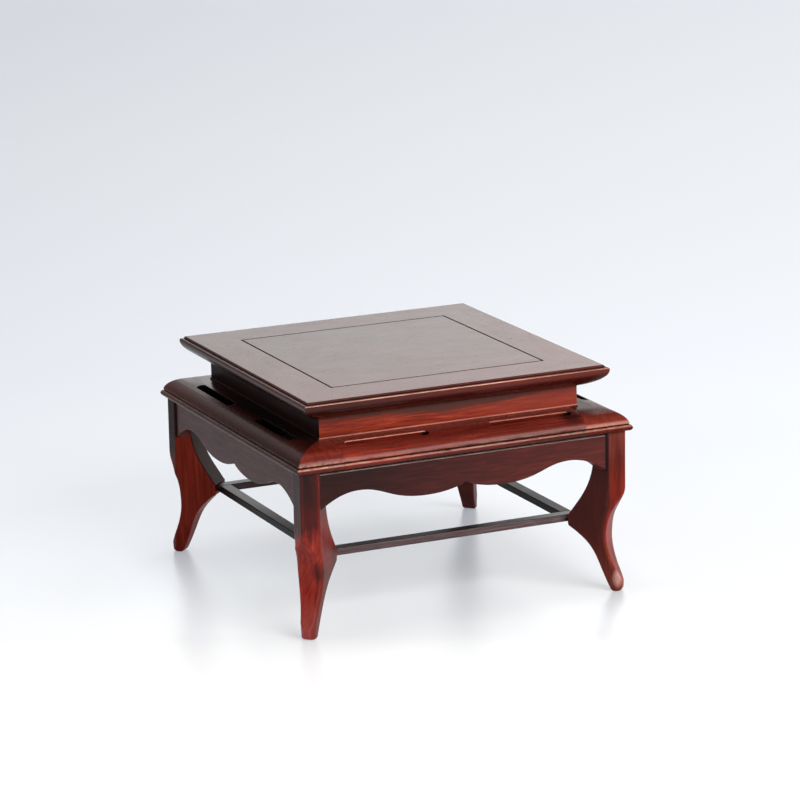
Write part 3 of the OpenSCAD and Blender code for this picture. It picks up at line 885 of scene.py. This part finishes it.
def leg_section(z, swell):
    """Outline across a leg as (along the diagonal, across it, wear) rows. swell widens it below the knee."""
    rise = max(0.0, 1 - z / sole_ease)
    inset = sole_ease * (1 - math.sqrt(1 - rise * rise))
    outer = at_height(outer_line, z) + swell * smooth((swell_z - z) / swell_run)
    thick = (foot_thickness + (leg_thickness - foot_thickness) * smooth(z / taper_z)) / 2
    ease = edge_ease + (knee_ease - edge_ease) * smooth((z - ankle_z) / (knee_round_z - ankle_z))
    flat = min(leg_corner - outer, thick - ease) - inset / 2
    inner = at_height(inner_line, z) + inset - swell * smooth((inner_swell_z - z) / inner_swell_run)
    outer -= inset
    thick -= inset
    side = outer - (thick - flat)
    to_knee = smooth((knee_round_start - z) / (knee_round_start - knee_round_z))
    to_foot = smooth((knee_round_z - z) / (knee_round_z - foot_round_z))
    radius = edge_radius + (knee_radius - edge_radius) * to_knee + (foot_radius - knee_radius) * to_foot
    points = [(outer, flat), (side, thick), (inner, thick), (inner, -thick), (side, -thick), (outer, -flat)]
    return rounded(points, {0: radius, 1: radius, 2: inner_radius, 3: inner_radius, 4: radius, 5: radius})


def leg(turn):
    """Leg at the +X +Y corner, turned to its place. Being made by hand, two legs differ a little."""
    solid = Solid()
    rings = []
    swell = leg_swell if turn == LEFT else 0
    for z in leg_levels:
        lean = foot_lean * smooth(1 - z / ankle_z) if turn == FRONT else 0
        rings.append([solid.vert((u - w - lean) / ROOT2, (u + w + lean) / ROOT2, z, worn)
                      for u, w, worn in leg_section(z, swell)])
    solid.capped(rings)
    return solid.done(turn)


def notch(turn):
    """Space of the stretchers in a leg."""
    solid = Solid()
    low, high = notch_inner, notch_outer
    solid.capped([[solid.vert(x, y, z) for x, y in ((low, low), (high, low), (high, high), (low, high))]
                  for z in (stretcher_low, stretcher_high + fit)])
    return solid.done(turn)


def apron_joint(t, strip, z, colour):
    """Painted shade on the strip of a leg's side face that lies along the end of an apron."""
    joint = t.times(strip, t.span(towards(t, -1, -1), 0.6, 0.8), t.span(z, 69, 71, 0, 0.9))
    return t.mix(joint, colour, SHADE)


def front_right_figure(t, spot, place, colour):
    """Painted shade on the inner face, lessening to the foot, painted sheen on the lower leg, painted light
    on the outer face, a painted highlight streak on the foot and painted shade in the joint.
    """
    _, y, z = t.axes(spot)
    # Painted sheen: the lower leg paler and greyer
    colour = t.tint(t.span(z, 42, 12), colour, (1.25, 2.3, 2.7))
    # Painted shade on the inner face
    inside = t.times(t.span(towards(t, -1, -1), 0.75, 0.95), t.span(z, 4, 38, 0.3, 0.85))
    colour = t.mix(inside, colour, linear(50, 23, 21))
    colour = t.tint(t.span(z, 60, 74), colour, (0.62, 0.8, 0.95))
    colour = t.tint(t.span(z, 76, 88), colour, (1.3, 2.0, 2.2))
    # The painted highlight streak on the foot is longer than it is wide, so it is measured on squeezed
    # heights
    squeeze = 0.6
    squeezed = t.vector("MULTIPLY", spot, (1, 1, squeeze))
    streak = t.near(squeezed, (91.8, -97, 4.6), 3.6)
    colour = t.mix(t.times(streak, 0.55), colour, linear(214, 165, 150))
    # Painted light on the outer face
    outer = t.times(t.span(towards(t, 1, -1), 0.8, 0.95), t.span(z, 20, 40, 0.3, 1.0))
    colour = t.tint(outer, colour, (1.8, 1.7, 1.7))
    return apron_joint(t, t.between(y, -96.5, -95.2, 0.2), z, colour)


def back_left_figure(t, spot, place, colour):
    """Inner edge with painted shade above the stretchers and painted light below them, a dark face and
    painted shade in the joint.
    """
    x, _, z = t.axes(spot)
    colour = t.tint(t.span(z, 66, 80), colour, (0.65, 0.9, 1.1))
    # Painted light on the inner edge below the stretchers and painted shade above them
    edge = t.span(towards(t, 1, -1), 0.5, 0.8)
    above = t.span(z, stretcher_low - 1, stretcher_high + 1)
    below = t.times(edge, t.math("SUBTRACT", 1.0, above))
    colour = t.tint(below, colour, (1.5, 1.3, 1.3))
    colour = t.mix(t.times(edge, above, 0.85), colour, linear(30, 14, 11))
    beside = t.times(t.span(towards(t, -1, 0), 0.85, 0.95), t.span(z, 54, 62, 0, 0.9))
    colour = t.mix(beside, colour, linear(44, 26, 24))
    return apron_joint(t, t.span(x, -95, -95.4), z, colour)


def front_left_figure(t, spot, place, colour):
    """Dark heartwood above with a ragged lower end, beside a red strip, and a flame below the knee."""
    x, y, z = t.axes(spot)
    # The flame slants across the leg
    flame_length, flame_lines = 16, 1.1
    along = t.times(t.dot(spot, (0.3, -0.3, 0.9)), 1 / flame_length)
    across = t.times(t.dot(spot, (0.64, -0.64, -0.42)), flame_lines)
    slanted = t.add("ShaderNodeCombineXYZ", {0: along, 1: across}).outputs[0]
    flame = t.ramp(t.noise(slanted, 4, 0.6), [(0.32, (0.5, 0.42, 0.42, 1)), (0.68, (1.25, 1.3, 1.3, 1))])
    colour = t.mix(t.span(z, 52, 42, 0, 0.75), colour, flame, "MULTIPLY")
    # Knot below the knee, a painted highlight on the foot, and painted shade on the flank, knob and right
    # plane
    colour = t.tint(t.near(spot, (-86, -95, 36), 7), colour, (0.45, 0.4, 0.45))
    colour = t.mix(t.span(z, 24, 8, 0, 0.35), colour, linear(180, 96, 88))
    flank = t.times(t.span(t.math("SUBTRACT", x, y), 2, 7), t.span(z, 42, 34, 0, 0.6))
    colour = t.tint(flank, colour, (0.4, 0.35, 0.35))
    colour = t.mix(t.times(t.near(spot, (-73, -84, 42), 7), 0.5), colour, linear(60, 22, 20))
    # Painted light on the left face below the heartwood
    beside = t.times(t.span(towards(t, -1, 0), 0.8, 0.95), t.span(z, 60, 54))
    colour = t.tint(beside, colour, (1.5, 1.25, 1.25))
    colour = t.tint(t.span(towards(t, 1, -1), 0.3, 0.9, 0, 0.6), colour, (0.4, 0.3, 0.3))
    # The strip and the heartwood meet on the front face
    strip_left, strip_right = -88.5, -86
    strip = t.times(t.span(x, strip_left, strip_right), t.span(z, 62, 74, 0, 0.75))
    colour = t.mix(strip, colour, linear(58, 14, 12))
    ragged = t.span(t.noise(t.stretch(place, 12, 2.6), 3, 0.6), 0.3, 0.7, -4, 4)
    heart = t.times(
        t.span(t.math("ADD", z, ragged), 54, 61),
        t.span(x, strip_right, strip_left),
        t.span(t.noise(t.stretch(place, 14, 4), 3), 0.35, 0.65, 0.82, 0.96),
    )
    colour = t.mix(heart, colour, t.mix(t.span(z, 68, 80), linear(52, 8, 7), linear(16, 5, 5)))
    return t.mix(t.near(spot, (-91.8, -97.1, 90.8), speck_radius), colour, SHADE)


leg_tones = {
    "front_left": ((104, 20, 13), (152, 40, 28), (180, 68, 52)),
    "front_right": ((72, 17, 10), (114, 33, 22), (138, 50, 36)),
    "back_left": ((92, 24, 16), (130, 41, 27), (154, 58, 42)),
    "back_right": ((52, 9, 5), (78, 17, 10), (102, 32, 22)),
}
leg_figures = {
    "front_left": front_left_figure, "front_right": front_right_figure, "back_left": back_left_figure,
}
leg_lacquer = {"front_right": 1.17, "back_left": 1.12}
for corner, turn in CORNERS.items():
    finish = wood("leg_" + corner, "z", grain_seed(13, turn), leg_tones[corner], rough=0.32, streak=2.4,
                  length=44, contrast=0.8, fine=0.25, pores=0.2, worn=0.05, relief=0.1,
                  lacquer=leg_lacquer.get(corner, LACQUER_IOR), marks=leg_figures.get(corner))
    add_piece("leg_" + corner, cut_out(leg(turn), [notch(turn)]), finish)

# Stretchers keep their solids, with eased edges

stretcher_ease = 0.4
# Faces closer to one plane than this, in radians, are joined
FLAT_ANGLE = 0.01


def stretcher_marks(factors):
    """Another tone on the upper face."""
    def marks(t, spot, place, colour):
        upward = t.axes(t.add("ShaderNodeNewGeometry").outputs["Normal"])[2]
        return t.tint(t.span(upward, 0.6, 0.8), colour, factors)
    return marks


stretcher_tones = {
    True: ((64, 49, 50), (90, 71, 72), (114, 94, 93)),
    False: ((20, 14, 14), (30, 22, 22), (48, 38, 38)),
}
stretcher_upper = {
    "front": (0.1, 0.09, 0.09), "back": (0.1, 0.09, 0.09), "left": (3.5, 4.0, 4.3), "right": (0.8, 0.9, 1.0),
}
for side, turn in SIDES.items():
    finish = wood("stretcher_" + side, grain_along(side), grain_seed(17, turn),
                  stretcher_tones[side in CROSSWISE], rough=0.45 if side == "right" else 0.32,
                  lacquer=1.2 if side == "left" else LACQUER_IOR, streak=1.0, length=30, fine=0.5, worn=0.3,
                  marks=stretcher_marks(stretcher_upper[side]))
    bm = bmesh.new()
    bm.from_mesh(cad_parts["stretcher_" + side].data)
    bmesh.ops.remove_doubles(bm, verts=bm.verts, dist=MERGE_GAP * MM)
    bmesh.ops.dissolve_limit(bm, angle_limit=FLAT_ANGLE, verts=bm.verts, edges=bm.edges)
    mesh = bpy.data.meshes.new("stretcher")
    bm.to_mesh(mesh)
    bm.free()
    add_piece("stretcher_" + side, mesh, finish, bevel=stretcher_ease)

# Camera: its place in metres, and its direction as the angles from which it looks at the stand

camera_place = Vector((-0.785, -1.731, 0.5808))
azimuth, elevation, roll = (math.radians(a) for a in (-24.55, 14.22, -1.05))
camera_data = bpy.data.cameras.new("camera")
camera_data.sensor_width = 36
camera_data.lens = 157.3335
camera = bpy.data.objects.new("camera", camera_data)
bpy.context.scene.collection.objects.link(camera)
back = Vector((
    math.sin(azimuth) * math.cos(elevation), -math.cos(azimuth) * math.cos(elevation), math.sin(elevation),
))
level = (-back).cross(Vector((0, 0, 1))).normalized()
upright = level.cross(-back)
across = math.cos(roll) * level + math.sin(roll) * upright
up = math.cos(roll) * upright - math.sin(roll) * level
camera.matrix_world = Matrix((
    (across.x, up.x, back.x, camera_place.x),
    (across.y, up.y, back.y, camera_place.y),
    (across.z, up.z, back.z, camera_place.z),
    (0, 0, 0, 1),
))
bpy.context.scene.camera = camera
bpy.context.scene.view_settings.view_transform = "Standard"

# Floor in metres: pale, with a soft sheen; what the camera sees of it fades from white to grey far behind

floor_corners = [(-6, -6, 0), (6, -6, 0), (6, 8, 0), (-6, 8, 0)]
floor_mesh = bpy.data.meshes.new("floor")
floor_mesh.from_pydata(floor_corners, [], [(0, 1, 2, 3)])
floor = bpy.data.objects.new("floor", floor_mesh)
bpy.context.scene.collection.objects.link(floor)
floor_material = bpy.data.materials.new("floor")
t = Tree(floor_material)
coord = t.add("ShaderNodeTexCoord").outputs["Object"]
# Distance from the middle of the stand, away from the camera's side and to its right
depth = t.dot(coord, (-math.sin(azimuth), math.cos(azimuth), 0))
shift = t.dot(coord, (math.cos(azimuth), math.sin(azimuth), 0))
shade = t.ramp(t.span(depth, -0.2, 2.3), [
    (0.0, (0.54, 0.54, 0.53, 1)), (0.02, (0.48, 0.48, 0.48, 1)), (0.032, (0.37, 0.38, 0.39, 1)),
    (0.096, (0.33, 0.355, 0.39, 1)), (0.19, (0.24, 0.265, 0.3, 1)), (0.27, (0.21, 0.235, 0.28, 1)),
    (0.64, (0.18, 0.205, 0.245, 1)), (1.0, (0.12, 0.15, 0.195, 1)),
])
# Painted shadow under the stand, painted light lifting the shadow at the front left, and less glow at the
# front right, where the floor is lit more
near_right = t.times(t.span(shift, 0, 0.16), t.span(depth, 0.4, 0.05), t.span(depth, -0.1, -0.04))
near_left = t.times(t.between(shift, -0.145, -0.05, 0.03), t.between(depth, -0.11, 0.03, 0.04))
beneath = t.near(coord, (0.02, 0.05, 0), 0.16)
strength = t.math("SUBTRACT", 1.0, t.times(near_right, 0.4))
strength = t.math("ADD", strength, t.times(near_left, 0.2))
strength = t.math("SUBTRACT", strength, t.times(beneath, 0.2))
glow = t.add("ShaderNodeEmission", {"Color": shade, "Strength": strength})
sheen = t.add("ShaderNodeBsdfPrincipled", {
    "Base Color": (0.48, 0.485, 0.495, 1), "Roughness": 0.3, "IOR": 1.4,
})
matte = t.add("ShaderNodeBsdfDiffuse", {"Color": (0.6, 0.6, 0.61, 1)})
shown = t.add("ShaderNodeAddShader", {0: sheen.outputs[0], 1: glow.outputs[0]})
path = t.add("ShaderNodeLightPath")
seen = t.math("MAXIMUM", path.outputs["Is Camera Ray"], path.outputs["Is Glossy Ray"])
seen = t.math("MAXIMUM", seen, path.outputs["Is Transmission Ray"])
both = t.add("ShaderNodeMixShader", {0: seen, 1: matte.outputs[0], 2: shown.outputs[0]})
t.add("ShaderNodeOutputMaterial", {"Surface": both.outputs[0]})
floor_mesh.materials.append(floor_material)

# Light: a bright backdrop behind, dim elsewhere, and softboxes at the front right, front left and overhead

backdrop_azimuth = 50
backdrop_strength = 2.35
dim_light = 0.02


def heading(azimuth_degrees, elevation_degrees):
    """Unit vector at an azimuth from +Y towards +X and an elevation."""
    a, e = math.radians(azimuth_degrees), math.radians(elevation_degrees)
    return Vector((math.sin(a) * math.cos(e), math.cos(a) * math.cos(e), math.sin(e)))


world = bpy.data.worlds.new("studio")
bpy.context.scene.world = world
t = Tree(world)
outward = t.add("ShaderNodeTexCoord").outputs["Generated"]
flattened = t.vector("MULTIPLY", outward, (1, 1, 0))
bearing = t.add("ShaderNodeVectorMath", {0: flattened}, operation="NORMALIZE").outputs[0]
around = t.ramp(t.dot(bearing, heading(backdrop_azimuth, 0)), [
    (0.0, grey(0.02)), (0.3, grey(0.07)), (0.6, grey(0.3)), (0.86, grey(0.7)), (1.0, grey(1)),
])
height = t.ramp(t.axes(outward)[2], [
    (0.0, grey(1)), (0.42, grey(1)), (0.5, grey(0.6)), (0.57, grey(0.15)), (0.66, grey(0.02)),
])
brightness = t.math("ADD", t.times(around, height), dim_light)
sky = t.add("ShaderNodeBackground", {
    "Color": (1, 0.995, 0.985, 1), "Strength": t.times(brightness, backdrop_strength),
})
t.add("ShaderNodeOutputWorld", {"Surface": sky.outputs[0]})

aim = Vector((0, 0, 0.07))


def softbox(name, direction, distance, size, power):
    """Rectangular lamp that looks at the stand; sizes in metres, power in watts."""
    light = bpy.data.lights.new(name, "AREA")
    light.shape = "RECTANGLE"
    light.size, light.size_y = size
    light.energy = power
    lamp = bpy.data.objects.new(name, light)
    bpy.context.scene.collection.objects.link(lamp)
    lamp.location = aim + direction * distance
    lamp.rotation_mode = "QUATERNION"
    lamp.rotation_quaternion = (-direction).to_track_quat("-Z", "Y")


softbox("key", heading(160, 34), 1.3, (1.0, 0.45), 15)
softbox("fill", heading(210, 12), 1.8, (1.2, 0.8), 8)
softbox("overhead", heading(15, 85), 1.4, (0.7, 0.7), 8)
